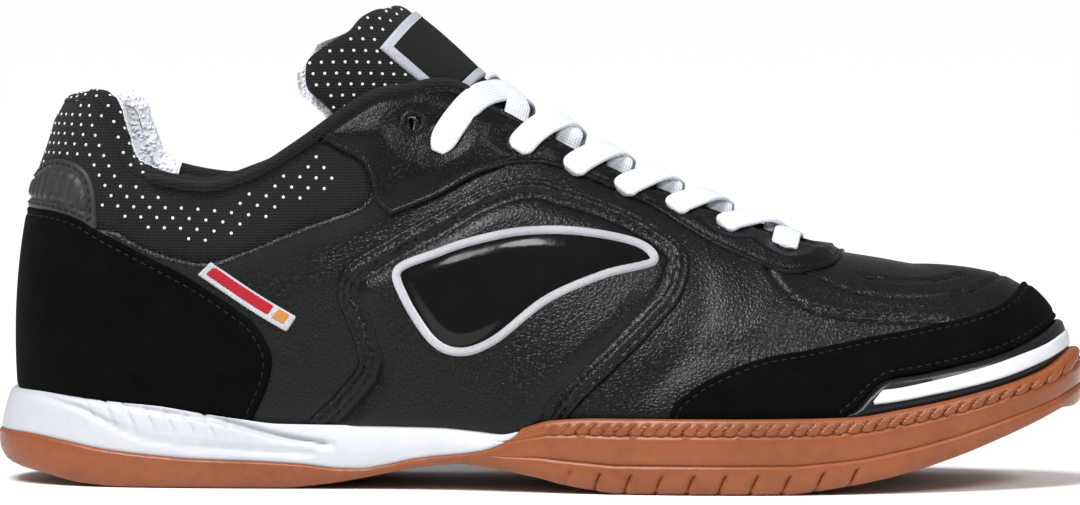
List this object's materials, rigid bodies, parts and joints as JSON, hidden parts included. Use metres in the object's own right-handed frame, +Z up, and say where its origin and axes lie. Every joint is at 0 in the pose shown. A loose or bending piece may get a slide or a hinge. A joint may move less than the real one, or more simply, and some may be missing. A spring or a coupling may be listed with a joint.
{
  "type": "indoor soccer shoe",
  "caption": "Low indoor soccer shoe for the right foot: leather upper open at collar and throat, padded tongue, flat laces, white midsole and gum outsole.",
  "frame": {"origin": "on the floor, in the middle of the heel's flat tread", "axes": "+X towards the toe, -Y towards the outer side of the foot, +Z up from the floor"},
  "size_m": [0.2953, 0.1026, 0.1302],
  "materials": {
    "leather": "full grain black leather, soft gloss",
    "suede": "black suede, matt nap",
    "textile": "black textile with small pale dots",
    "lining": "pale terry lining",
    "gloss": "glossy black rubberised patch",
    "foam": "white moulded foam",
    "gum": "gum rubber, satin",
    "lace": "white flat woven lace",
    "red_tag": "red woven tag with a pale border"
  },
  "bodies": {
    "root": {"upper": "leather", "midsole": "foam", "outsole": "gum", "insole": "lining", "tongue": "textile", "tongue_label": "gloss", "toe_guard": "suede", "toe_bumper": "gloss", "toe_stripe": "foam", "heel_counter": "suede", "heel_patch": "textile", "side_tag": "red_tag", "side_panel_outer": "leather", "side_emblem_outer": "gloss", "eyestay_outer": "leather", "side_panel_inner": "leather", "side_emblem_inner": "gloss", "eyestay_inner": "leather", "lace": "lace"}
  },
  "joints": []
}
